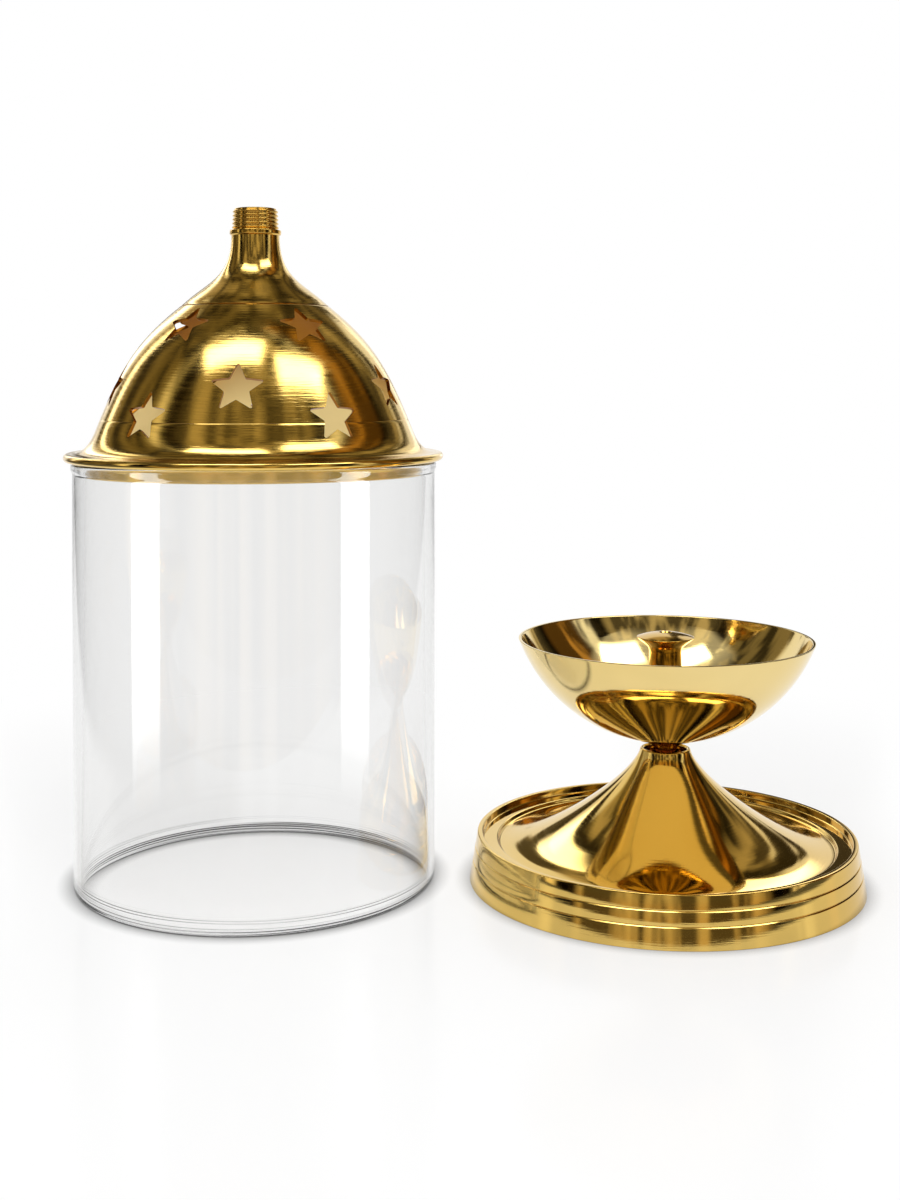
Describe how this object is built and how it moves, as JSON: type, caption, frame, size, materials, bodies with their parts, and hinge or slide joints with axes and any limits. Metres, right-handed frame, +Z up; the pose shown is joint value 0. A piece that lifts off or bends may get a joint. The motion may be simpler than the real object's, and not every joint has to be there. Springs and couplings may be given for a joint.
{
  "type": "akhand diya oil lamp",
  "caption": "Brass akhand diya: a trumpet pedestal with an oil bowl and wick holder, beside its glass chimney under a star-pierced dome lid.",
  "frame": {"origin": "on the floor, at the middle of the box round the chimney with its lid and the pedestal", "axes": "+X along the row from the chimney to the pedestal, +Y away from the viewer, +Z up"},
  "size_m": [0.2206, 0.1112, 0.186],
  "materials": {
    "spun_brass": "mirror polished spun sheet",
    "turned_brass": "polished lathe-turned bar",
    "clear_glass": "clear drawn tube with fire-polished edges"
  },
  "bodies": {
    "pedestal_body": {"pedestal": "spun_brass", "neck_bush": "turned_brass"},
    "bowl_body": {"oil_bowl": "spun_brass", "bowl_foot": "turned_brass"},
    "wick_body": {"wick_holder": "turned_brass"},
    "chimney_body": {"glass_chimney": "clear_glass"},
    "lid_body": {"lid_dome": "spun_brass", "lid_collar": "spun_brass", "lid_spigot": "turned_brass"}
  },
  "joints": [
    {"name": "bowl_lift", "type": "slide", "parent": "pedestal_body", "child": "bowl_body", "axis": [0, 0, 1], "range_m": [0, 0.03]},
    {"name": "wick_holder_lift", "type": "slide", "parent": "bowl_body", "child": "wick_body", "axis": [0, 0, 1], "range_m": [0, 0.04]},
    {"name": "chimney_lift", "type": "slide", "parent": "pedestal_body", "child": "chimney_body", "axis": [0, 0, 1], "range_m": [0, 0.1]},
    {"name": "lid_lift", "type": "slide", "parent": "chimney_body", "child": "lid_body", "axis": [0, 0, 1], "range_m": [0, 0.05]}
  ]
}
